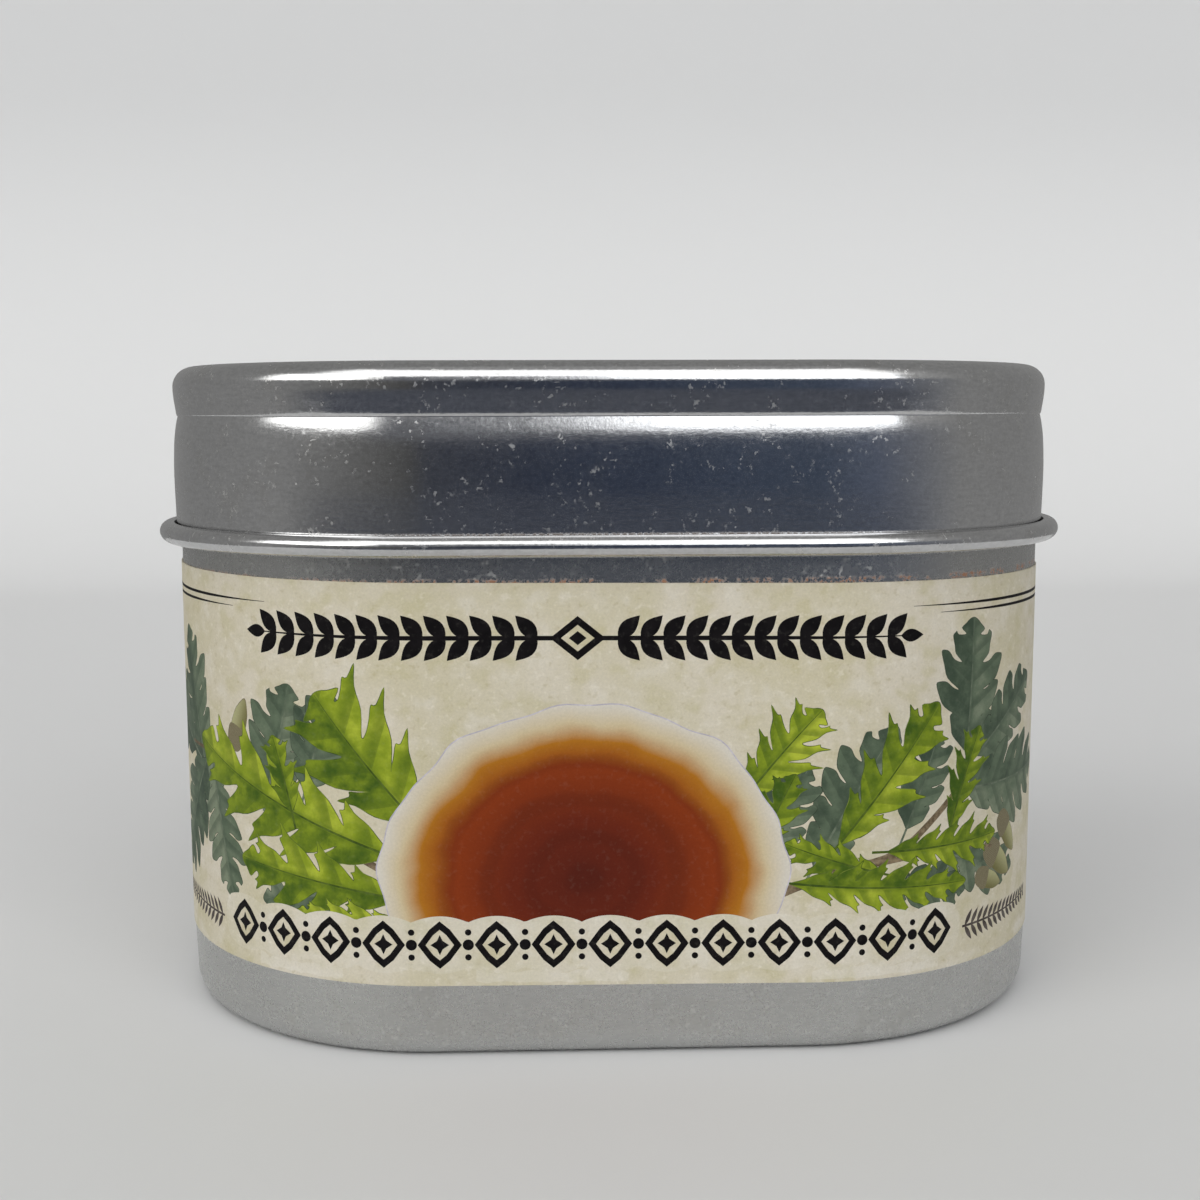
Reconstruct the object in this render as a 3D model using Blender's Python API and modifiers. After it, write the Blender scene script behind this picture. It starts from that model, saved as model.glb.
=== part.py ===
"""Oval slip-lid tin with a paper label wrapped round its body.

Three separate pieces: a drawn tinplate body with a rolled rim, a drawn lid
that slips down over it and ends in a rolled curl, and one paper strip glued
round the body whose ends stop just short of each other at the back.

Metres, +Z up. The origin is on the table plane, at the middle of the oval.
The long side of the oval lies along X, and the label's front faces -Y.
"""

import math

import bmesh
import bpy

MM = 0.001

# ---- plan outline: two half rounds joined by straight sides ----------------
WALL_LENGTH = 90.0 * MM          # lid wall, end to end
WALL_DEPTH = 55.06 * MM          # lid wall, front to back
END_RADIUS = WALL_DEPTH / 2
HALF_STRAIGHT = (WALL_LENGTH - WALL_DEPTH) / 2
END_STEPS = 24                   # facets in each half-round end

# ---- sheet ------------------------------------------------------------------
SHEET = 0.30 * MM                # tinplate
PAPER = 0.12 * MM

# ---- lid, offsets are from the lid's own outer wall line --------------------
LID_BOTTOM = 46.62 * MM          # underside of the curl when seated
LID_TOP = 64.0 * MM
RIM_RADIUS = 1.5 * MM
PANEL_DROP = 0.5 * MM            # flat top panel below the rim's crest
GROOVE_Z = 59.1 * MM
GROOVE_INSET = 0.52 * MM
CURL_RADIUS = 1.0 * MM
CURL_CENTRE_OUT = 0.6 * MM

# ---- body -------------------------------------------------------------------
BODY_INSET = 0.72 * MM           # outer face, in from the lid's wall line
BODY_TOP = 57.8 * MM
BASE_RADIUS = 2.2 * MM           # round between the wall and the base
BASE_LAND = 2.7 * MM             # flat ring the tin stands on
BASE_RISE = 0.6 * MM             # the panel inside that ring is this much higher
ROLL_RADIUS = 0.7 * MM           # rolled top edge, turned inwards

# ---- label ------------------------------------------------------------------
LABEL_INSET = 0.38 * MM          # printed face, in from the lid's wall line
LABEL_BOTTOM = 7.06 * MM
LABEL_TOP = 44.26 * MM
LABEL_SLOPE = -0.0065            # it was stuck on very slightly crooked
LABEL_GAP = 2.0 * MM             # bare metal between its two ends

COLLECTION = "oval_slip_lid_tin"


def clear_scene():
    for obj in list(bpy.data.objects):
        bpy.data.objects.remove(obj, do_unlink=True)


def make_material(name, colour, metallic, roughness):
    mat = bpy.data.materials.new(name)
    mat.use_nodes = True
    shader = mat.node_tree.nodes["Principled BSDF"]
    shader.inputs["Base Color"].default_value = (*colour, 1.0)
    shader.inputs["Metallic"].default_value = metallic
    shader.inputs["Roughness"].default_value = roughness
    mat.diffuse_color = (*colour, 1.0)
    return mat


def arc(centre_d, centre_z, radius, start, end, steps):
    """Points of a circular arc in the section plane, angles in degrees."""
    points = []
    for i in range(steps + 1):
        angle = math.radians(start + (end - start) * i / steps)
        points.append((centre_d + radius * math.cos(angle),
                       centre_z + radius * math.sin(angle)))
    return points


def spun_half_shell(name, section, floor_z):
    """One half of an oval pressing.

    section is the middle of the sheet as (offset from the wall line, z), from
    the centre of the flat panel outwards. Its first point is the panel's
    centre, given as (None, z). The section is spun half a turn round the axis
    of the right-hand end, and its two open edges are drawn back to x = 0.
    """
    bm = bmesh.new()
    verts = []
    for offset, z in section:
        rho = 0.0 if offset is None else END_RADIUS + offset
        verts.append(bm.verts.new((HALF_STRAIGHT, -rho, z - floor_z)))
    edges = [bm.edges.new(pair) for pair in zip(verts[:-1], verts[1:])]
    bmesh.ops.spin(bm, geom=verts + edges, cent=(HALF_STRAIGHT, 0, 0),
                   axis=(0, 0, 1), angle=math.pi, steps=END_STEPS)
    bmesh.ops.remove_doubles(bm, verts=bm.verts[:], dist=1e-5)
    open_edges = [e for e in bm.edges
                  if e.is_boundary and all(abs(v.co.x - HALF_STRAIGHT) < 1e-6
                                           for v in e.verts)]
    drawn = bmesh.ops.extrude_edge_only(bm, edges=open_edges)
    for item in drawn["geom"]:
        if isinstance(item, bmesh.types.BMVert):
            item.co.x = 0.0
    bmesh.ops.recalc_face_normals(bm, faces=bm.faces[:])
    mesh = bpy.data.meshes.new(name)
    bm.to_mesh(mesh)
    bm.free()
    return mesh


def add_object(name, mesh, material, collection, parent, location):
    obj = bpy.data.objects.new(name, mesh)
    collection.objects.link(obj)
    mesh.materials.append(material)
    obj.parent = parent
    obj.location = location
    return obj


def add_pressing(name, section, floor_z, material, collection, parent):
    mesh = spun_half_shell(name, section, floor_z)
    obj = add_object(name, mesh, material, collection, parent, (0, 0, floor_z))
    mirror = obj.modifiers.new("other_half", "MIRROR")
    mirror.use_axis = (True, False, False)
    mirror.use_clip = True
    mirror.merge_threshold = 1e-5
    sheet = obj.modifiers.new("sheet", "SOLIDIFY")
    sheet.thickness = SHEET
    sheet.offset = 0.0
    sheet.use_even_offset = True
    mesh.shade_smooth()
    mesh.set_sharp_from_angle(angle=math.radians(40))
    return obj


def lid_section():
    h = SHEET / 2
    panel = LID_TOP - PANEL_DROP - h
    rim_z = LID_TOP - RIM_RADIUS
    points = [(None, panel),
              (-(RIM_RADIUS + 2.2 * MM), panel),
              (-(RIM_RADIUS + 1.1 * MM), LID_TOP - h - 0.06 * MM)]
    # rounded rim, a shade inside the wall line
    points += arc(-(RIM_RADIUS + 0.1 * MM), rim_z, RIM_RADIUS - h, 90, 0, 3)
    # the wall sweeps in to the groove that seats on the body, then out again
    points += [(-0.13 * MM - h, GROOVE_Z + 2.5 * MM),
               (-0.30 * MM - h, GROOVE_Z + 1.3 * MM),
               (-0.46 * MM - h, GROOVE_Z + 0.5 * MM),
               (-GROOVE_INSET - h, GROOVE_Z),
               (-0.38 * MM - h, GROOVE_Z - 0.7 * MM),
               (-0.17 * MM - h, GROOVE_Z - 1.8 * MM),
               (-0.02 * MM - h, GROOVE_Z - 3.4 * MM),
               (0.0 - h, GROOVE_Z - 6.0 * MM),
               (-0.10 * MM - h, LID_BOTTOM + 2.2 * MM)]
    # the bottom edge turns outwards and rolls up into a hollow curl
    points += arc(CURL_CENTRE_OUT, LID_BOTTOM + CURL_RADIUS, CURL_RADIUS - h,
                  180, 480, 8)
    return points


def body_section():
    h = SHEET / 2
    wall = -BODY_INSET - h
    land_out = -BODY_INSET - BASE_RADIUS
    points = [(None, BASE_RISE + h),
              (land_out - BASE_LAND - 0.8 * MM, BASE_RISE + h),
              (land_out - BASE_LAND, h)]
    points += arc(land_out, BASE_RADIUS, BASE_RADIUS - h, -90, 0, 4)
    # straight wall, then the edge rolls inwards
    points += arc(wall - (ROLL_RADIUS - h), BODY_TOP - ROLL_RADIUS,
                  ROLL_RADIUS - h, 0, 240, 6)
    return points


def outline_point(s, inset):
    """Point on the oval at arc length s from the middle of the front."""
    radius = END_RADIUS - inset
    half_turn = math.pi * radius
    sign = 1.0 if s >= 0 else -1.0
    s = abs(s)
    if s <= HALF_STRAIGHT:
        return sign * s, -radius
    if s <= HALF_STRAIGHT + half_turn:
        angle = (s - HALF_STRAIGHT) / radius
        return (sign * (HALF_STRAIGHT + radius * math.sin(angle)),
                -radius * math.cos(angle))
    return sign * (2 * HALF_STRAIGHT + half_turn - s), radius


def label_stations(inset):
    """Arc lengths of the label's columns, matching the body's facets."""
    radius = END_RADIUS - inset
    half = [0.0]
    half += [HALF_STRAIGHT + math.pi * radius * i / END_STEPS
             for i in range(END_STEPS + 1)]
    half.append(2 * HALF_STRAIGHT + math.pi * radius - LABEL_GAP / 2)
    return [-s for s in reversed(half[1:])] + half


def add_label(material, collection, parent):
    inset = LABEL_INSET + PAPER / 2
    stations = label_stations(inset)
    columns = len(stations) - 1
    bpy.ops.mesh.primitive_grid_add(x_subdivisions=columns, y_subdivisions=1,
                                    size=2.0)
    obj = bpy.context.active_object
    obj.name = "label"
    mesh = obj.data
    mesh.name = "label"
    for user in list(obj.users_collection):
        user.objects.unlink(obj)
    collection.objects.link(obj)
    middle = (LABEL_BOTTOM + LABEL_TOP) / 2
    for vert in mesh.vertices:
        s = stations[round((vert.co.x + 1.0) / 2.0 * columns)]
        top = vert.co.y > 0
        x, y = outline_point(s, inset)
        z = (LABEL_TOP if top else LABEL_BOTTOM) + LABEL_SLOPE * s - middle
        vert.co = (x, y, z)
    mesh.materials.append(material)
    mesh.shade_smooth()
    mesh.set_sharp_from_angle(angle=math.radians(40))
    obj.parent = parent
    obj.location = (0, 0, middle)
    paper = obj.modifiers.new("paper", "SOLIDIFY")
    paper.thickness = PAPER
    paper.offset = 0.0
    paper.use_even_offset = True
    return obj


def main():
    clear_scene()
    collection = bpy.data.collections.new(COLLECTION)
    bpy.context.scene.collection.children.link(collection)
    holder = bpy.data.objects.new("tin_origin", None)
    collection.objects.link(holder)

    lid_metal = make_material("tinplate_lid", (0.46, 0.47, 0.49), 1.0, 0.30)
    body_metal = make_material("tinplate_body", (0.42, 0.42, 0.41), 1.0, 0.42)
    paper = make_material("label_paper", (0.62, 0.56, 0.45), 0.0, 0.55)

    add_pressing("tin_body", body_section(), 0.0, body_metal, collection,
                 holder)
    add_pressing("lid", lid_section(), LID_BOTTOM, lid_metal, collection,
                 holder)
    add_label(paper, collection, holder)


main()
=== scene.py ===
"""Looks for the oval slip-lid tin: fine tinplate pressings, a printed paper
label and a pale studio, built round the fixed frame."""
import math

import bmesh
import bpy
import numpy as np
from mathutils import Matrix, Vector
from mathutils.geometry import delaunay_2d_cdt


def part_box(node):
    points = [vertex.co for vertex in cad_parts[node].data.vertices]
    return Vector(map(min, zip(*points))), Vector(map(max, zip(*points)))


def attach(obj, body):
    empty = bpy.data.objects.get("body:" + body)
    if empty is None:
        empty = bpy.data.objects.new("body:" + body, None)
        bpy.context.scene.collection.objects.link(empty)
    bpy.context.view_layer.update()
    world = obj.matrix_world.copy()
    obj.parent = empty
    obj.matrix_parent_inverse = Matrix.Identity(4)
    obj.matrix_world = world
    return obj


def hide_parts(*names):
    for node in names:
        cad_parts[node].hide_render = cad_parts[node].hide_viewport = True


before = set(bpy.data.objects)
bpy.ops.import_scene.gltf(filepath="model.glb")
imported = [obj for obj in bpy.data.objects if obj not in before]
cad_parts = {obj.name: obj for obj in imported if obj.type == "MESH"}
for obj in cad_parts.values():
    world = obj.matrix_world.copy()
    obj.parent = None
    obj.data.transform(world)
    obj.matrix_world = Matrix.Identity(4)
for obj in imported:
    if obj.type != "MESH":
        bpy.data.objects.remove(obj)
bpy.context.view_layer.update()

MM = 0.001

# --------------------------------------------------------------------------
# Sizes, in millimetres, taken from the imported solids
# --------------------------------------------------------------------------
lid_lo, lid_hi = (np.array(v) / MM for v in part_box("lid"))
body_lo, body_hi = (np.array(v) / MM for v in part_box("tin_body"))
label_lo, label_hi = (np.array(v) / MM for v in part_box("label"))

CURL_OUT = 1.6                                # the curl stands proud of the wall
END_R = (lid_hi[1] - lid_lo[1]) / 2 - CURL_OUT
HALF = (lid_hi[0] - lid_lo[0]) / 2 - CURL_OUT - END_R
LID_TOP = lid_hi[2]
LID_BOTTOM = lid_lo[2]
BODY_TOP = body_hi[2]
BODY_INSET = 0.56                             # the wall right behind the paper
LABEL_IN = 0.54
LABEL_OUT = 0.42
SLOPE = -0.0065
GAP = 2.0
GROOVE_Z = 59.1


def lerp(a, b, t):
    return a + (b - a) * t


# --------------------------------------------------------------------------
# Pressed oval shells
# --------------------------------------------------------------------------
def stations(n_end, n_side):
    """Points round the oval: (axis x, direction x, direction y, arc length)."""
    out = []
    q = math.pi * END_R / 2
    for i in range(n_side // 2):              # front, middle to the right
        ax = HALF * i / (n_side // 2)
        out.append((ax, 0.0, -1.0, ax))
    for i in range(n_end):                    # right end
        a = math.pi * i / n_end
        out.append((HALF, math.sin(a), -math.cos(a), HALF + END_R * a))
    for i in range(n_side):                   # back, right to left
        ax = HALF - 2 * HALF * i / n_side
        out.append((ax, 0.0, 1.0, HALF + 2 * q + (HALF - ax)))
    for i in range(n_end):                    # left end
        a = math.pi * i / n_end
        out.append((-HALF, -math.sin(a), math.cos(a),
                    3 * HALF + 2 * q + END_R * a))
    for i in range(n_side // 2):              # front, left to the middle
        ax = -HALF + HALF * i / (n_side // 2)
        out.append((ax, 0.0, -1.0, 3 * HALF + 4 * q + HALF + ax))
    return np.array(out), 4 * HALF + 4 * q


def smooth_path(points, per=6):
    """Catmull-Rom (centripetal) through the points, for sheet sections."""
    p = [np.array(v, float) for v in points]
    p = [2 * p[0] - p[1]] + p + [2 * p[-1] - p[-2]]
    out = []
    for i in range(1, len(p) - 2):
        p0, p1, p2, p3 = p[i - 1:i + 3]
        t0 = 0.0
        t1 = t0 + max(np.linalg.norm(p1 - p0), 1e-9) ** 0.5
        t2 = t1 + max(np.linalg.norm(p2 - p1), 1e-9) ** 0.5
        t3 = t2 + max(np.linalg.norm(p3 - p2), 1e-9) ** 0.5
        for k in range(per):
            t = t1 + (t2 - t1) * k / per
            a1 = (t1 - t) / (t1 - t0) * p0 + (t - t0) / (t1 - t0) * p1
            a2 = (t2 - t) / (t2 - t1) * p1 + (t - t1) / (t2 - t1) * p2
            a3 = (t3 - t) / (t3 - t2) * p2 + (t - t2) / (t3 - t2) * p3
            b1 = (t2 - t) / (t2 - t0) * a1 + (t - t0) / (t2 - t0) * a2
            b2 = (t3 - t) / (t3 - t1) * a2 + (t - t1) / (t3 - t1) * a3
            out.append((t2 - t) / (t2 - t1) * b1 + (t - t1) / (t2 - t1) * b2)
    out.append(p[-2])
    return [tuple(v) for v in out]


def arc(cd, cz, r, a0, a1, n):
    return [(cd + r * math.cos(math.radians(a0 + (a1 - a0) * i / n)),
             cz + r * math.sin(math.radians(a0 + (a1 - a0) * i / n)))
            for i in range(n + 1)]


def thicken(outer, t):
    """The sheet's second face: the same path moved t to its inner side."""
    p = np.array(outer, float)
    d = np.gradient(p, axis=0)
    d /= np.linalg.norm(d, axis=1)[:, None]
    n = np.stack([d[:, 1], -d[:, 0]], 1)      # left of travel is outside
    return [tuple(v) for v in (p + n * t)]


def press(name, path, n_end=96, n_side=44, shape=None):
    """Closed shell from a section path of (offset from the wall line, z) that
    starts and ends on the medial line (offset -END_R)."""
    st, total = stations(n_end, n_side)
    prof = np.array(path, float)
    rho = END_R + prof[:, 0]
    rho[rho < 1e-6] = 0.0
    n, m = len(st), len(prof)
    x = st[:, None, 0] + st[:, None, 1] * rho[None, :]
    y = st[:, None, 2] * rho[None, :]
    z = np.repeat(prof[None, :, 1], n, 0)
    s = np.repeat(st[:, None, 3], m, 1)
    co = np.stack([x, y, z], 2)
    if shape is not None:
        co = shape(co, s, prof)
    seg = np.linalg.norm(np.diff(prof, axis=0), axis=1)
    v = np.concatenate([[0], np.cumsum(seg)])
    idx = np.arange(n * m).reshape(n, m)
    # rows meet at the medial line: one vertex per distinct x there
    verts = co.reshape(-1, 3)
    remap = np.arange(n * m)
    for col in (0, m - 1):
        seen = {}
        for i in range(n):
            key = (round(float(st[i, 0]), 5), col)
            j = int(idx[i, col])
            if key in seen:
                remap[j] = seen[key]
            else:
                seen[key] = j
    faces, uvs = [], []
    for i in range(n):
        i2 = (i + 1) % n
        s1 = st[i, 3]
        s2 = st[i2, 3] if i2 else total
        for k in range(m - 1):
            quad = [(idx[i, k], s1, v[k]), (idx[i2, k], s2, v[k]),
                    (idx[i2, k + 1], s2, v[k + 1]), (idx[i, k + 1], s1, v[k + 1])]
            ids, keep = [], []
            for q in quad:
                r = int(remap[q[0]])
                if r not in ids:
                    ids.append(r)
                    keep.append(q)
            if len(ids) > 2:
                faces.append(ids)
                uvs.extend((q[1], q[2]) for q in keep)
    used = sorted({i for f in faces for i in f})
    new = {o: k for k, o in enumerate(used)}
    mesh = bpy.data.meshes.new(name)
    mesh.from_pydata([tuple(c * MM) for c in verts[used]], [],
                     [[new[i] for i in f] for f in faces])
    uv = mesh.uv_layers.new(name="sheet")
    uv.data.foreach_set("uv", np.array(uvs, float).ravel() / 100.0)
    mesh.validate()
    bm = bmesh.new()
    bm.from_mesh(mesh)
    bmesh.ops.recalc_face_normals(bm, faces=bm.faces[:])
    bm.to_mesh(mesh)
    bm.free()
    mesh.shade_smooth()
    obj = bpy.data.objects.new(name, mesh)
    bpy.context.scene.collection.objects.link(obj)
    return obj


def wavy(amount, seed):
    """Slight hand-felt unevenness of drawn sheet, as a sum of slow waves."""
    rng = np.random.default_rng(seed)
    terms = [(rng.integers(1, 7), rng.uniform(0.02, 0.12), rng.uniform(0, 6.28),
              rng.uniform(0.4, 1.0)) for _ in range(7)]

    def shape(co, s, prof):
        total = 4 * HALF + 2 * math.pi * END_R
        w = np.zeros(co.shape[:2])
        for k, kz, ph, a in terms:
            w += a * np.sin(2 * math.pi * k * s / total + kz * co[..., 2] + ph)
        w *= amount / len(terms)
        fade = np.clip((prof[:, 0] + 3.0) / 1.5, 0, 1)[None, :]
        out = co.copy()
        r = np.hypot(co[..., 0] - np.clip(co[..., 0], -HALF, HALF), co[..., 1])
        r[r < 1e-6] = 1.0
        out[..., 0] += (co[..., 0] - np.clip(co[..., 0], -HALF, HALF)) / r * w * fade
        out[..., 1] += co[..., 1] / r * w * fade
        return out

    return shape


SHEET = 0.27

# lid, outer face, from the middle of the panel outwards and down
panel = LID_TOP - 0.5
lid_outer = [(-END_R, panel), (-16.0, panel), (-8.0, panel), (-5.2, panel)]
lid_outer += smooth_path([(-4.6, panel), (-4.2, panel + 0.03), (-3.65, panel + 0.25),
                          (-3.1, LID_TOP - 0.06), (-2.6, LID_TOP)], 5)
lid_outer += arc(-2.12, LID_TOP - 2.0, 2.0, 90, 0, 18)
upper = smooth_path([(-0.12, LID_TOP - 2.0), (-0.13, LID_TOP - 2.5),
                     (-0.19, GROOVE_Z + 1.7), (-0.30, GROOVE_Z + 0.9),
                     (-0.385, GROOVE_Z + 0.3), (-0.43, GROOVE_Z + 0.10)], 5)[1:]
shoulder = smooth_path([(-0.49, GROOVE_Z - 0.09), (-0.385, GROOVE_Z - 0.55),
                        (-0.275, GROOVE_Z - 1.15), (-0.185, GROOVE_Z - 1.8),
                        (-0.11, GROOVE_Z - 2.6), (-0.04, GROOVE_Z - 3.8),
                        (0.0, GROOVE_Z - 5.2), (0.0, GROOVE_Z - 6.6),
                        (-0.03, GROOVE_Z - 8.2), (-0.07, LID_BOTTOM + 2.4),
                        (-0.10, LID_BOTTOM + 1.0)], 4)
lid_outer += upper + [(-0.515, GROOVE_Z)] + shoulder
# the inside of the roll, then its edge; the same path moved in is the outside
lid_outer += arc(0.6, LID_BOTTOM + 1.0, 1.0 - SHEET, 186, 478, 30)
lid_inner = thicken(lid_outer, SHEET)
lid_inner[0] = (-END_R, lid_inner[0][1])
lid_path = lid_outer + lid_inner[::-1]

# body, outer face, from the middle of the base outwards and up
ri = 2.2
land = -BODY_INSET - ri - 0.16
body_outer = [(-END_R, 0.6), (-16.0, 0.6), (land - 4.0, 0.6)]
body_outer += smooth_path([(land - 3.6, 0.6), (land - 3.25, 0.52), (land - 2.95, 0.1),
                           (land - 2.7, 0.0)], 4)
body_outer += [(land - 1.3, 0.0)]
body_outer += arc(land, ri, ri, -90, 0, 14)
body_outer += smooth_path([(land + ri + 0.02, 3.2), (-BODY_INSET - 0.06, 5.0),
                           (-BODY_INSET - 0.01, 7.5), (-BODY_INSET, 12.0),
                           (-BODY_INSET, 26.0), (-BODY_INSET, 44.0),
                           (-BODY_INSET, 56.6)], 4)
body_outer += arc(-BODY_INSET - 0.7, BODY_TOP - 0.7, 0.7, 0, 235, 20)
body_inner = thicken(body_outer, -SHEET)
body_inner[0] = (-END_R, body_inner[0][1])
body_path = body_outer + body_inner[::-1]

lid = press("lid_sheet", lid_path, shape=wavy(0.09, 3))
body = press("body_sheet", body_path, shape=wavy(0.05, 8))
for piece, node in ((lid, "lid"), (body, "tin_body")):
    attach(piece, "root")
    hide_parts(node)

# --------------------------------------------------------------------------
# Node helpers
# --------------------------------------------------------------------------
class Net:
    """A small wrapper that builds shader nodes from expressions."""

    def __init__(self, tree):
        self.t = tree
        self.n = tree.nodes
        self.l = tree.links

    def new(self, kind, **props):
        node = self.n.new(kind)
        for k, v in props.items():
            setattr(node, k, v)
        return node

    def put(self, socket, value):
        if isinstance(value, bpy.types.NodeSocket):
            self.l.new(value, socket)
        elif value is not None:
            if socket.type == "RGBA" and len(value) == 3:
                value = (*value, 1.0)
            socket.default_value = value

    def math(self, op, a, b=None, c=None, clamp=False):
        node = self.new("ShaderNodeMath", operation=op, use_clamp=clamp)
        for s, v in zip(node.inputs, (a, b, c)):
            self.put(s, v)
        return node.outputs[0]

    def mul(self, a, b):
        return self.math("MULTIPLY", a, b)

    def add(self, a, b):
        return self.math("ADD", a, b)

    def sub(self, a, b):
        return self.math("SUBTRACT", a, b)

    def step(self, x, lo, hi, a=0.0, b=1.0, kind="SMOOTHSTEP"):
        node = self.new("ShaderNodeMapRange", interpolation_type=kind)
        node.clamp = True
        for s, v in zip(node.inputs[:5], (x, lo, hi, a, b)):
            self.put(s, v)
        return node.outputs[0]

    def band(self, x, centre, half, soft):
        d = self.math("ABSOLUTE", self.sub(x, centre))
        return self.step(d, half, half + soft, 1.0, 0.0)

    def mix(self, f, a, b, blend="MIX"):
        node = self.new("ShaderNodeMix", data_type="RGBA", blend_type=blend)
        self.put(node.inputs[0], f)
        self.put(node.inputs[6], a)
        self.put(node.inputs[7], b)
        return node.outputs[2]

    def fmix(self, f, a, b):
        node = self.new("ShaderNodeMix", data_type="FLOAT")
        self.put(node.inputs[0], f)
        self.put(node.inputs[2], a)
        self.put(node.inputs[3], b)
        return node.outputs[0]

    def xyz(self, vec):
        node = self.new("ShaderNodeSeparateXYZ")
        self.put(node.inputs[0], vec)
        return node.outputs[0], node.outputs[1], node.outputs[2]

    def vec(self, x, y, z=0.0):
        node = self.new("ShaderNodeCombineXYZ")
        for s, v in zip(node.inputs, (x, y, z)):
            self.put(s, v)
        return node.outputs[0]

    def uv(self, name):
        return self.new("ShaderNodeUVMap", uv_map=name).outputs[0]

    def noise(self, vec, scale, detail=2.0, rough=0.5, dist=0.0):
        node = self.new("ShaderNodeTexNoise")
        self.put(node.inputs["Vector"], vec)
        node.inputs["Scale"].default_value = scale
        node.inputs["Detail"].default_value = detail
        node.inputs["Roughness"].default_value = rough
        node.inputs["Distortion"].default_value = dist
        return node.outputs["Fac"]

    def voronoi(self, vec, scale, feature="F1", rand=1.0, out="Distance"):
        node = self.new("ShaderNodeTexVoronoi", feature=feature)
        self.put(node.inputs["Vector"], vec)
        node.inputs["Scale"].default_value = scale
        node.inputs["Randomness"].default_value = rand
        return node.outputs[out]

    def ramp(self, f, stops, kind="LINEAR"):
        node = self.new("ShaderNodeValToRGB")
        node.color_ramp.interpolation = kind
        els = node.color_ramp.elements
        while len(els) > 1:
            els.remove(els[-1])
        els[0].position, els[0].color = stops[0][0], (*stops[0][1], 1)
        for p, c in stops[1:]:
            e = els.new(p)
            e.color = (*c, 1)
        self.put(node.inputs[0], f)
        return node.outputs[0]

    def bump(self, height, dist, normal=None, strength=1.0):
        node = self.new("ShaderNodeBump")
        node.inputs["Distance"].default_value = dist
        node.inputs["Strength"].default_value = strength
        self.put(node.inputs["Height"], height)
        if normal is not None:
            self.put(node.inputs["Normal"], normal)
        return node.outputs[0]


def srgb(r, g, b):
    def lin(c):
        c /= 255.0
        return c / 12.92 if c <= 0.04045 else ((c + 0.055) / 1.055) ** 2.4
    return (lin(r), lin(g), lin(b))


def material(name):
    mat = bpy.data.materials.new(name)
    mat.use_nodes = True
    net = Net(mat.node_tree)
    return mat, net, mat.node_tree.nodes["Principled BSDF"]


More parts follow.
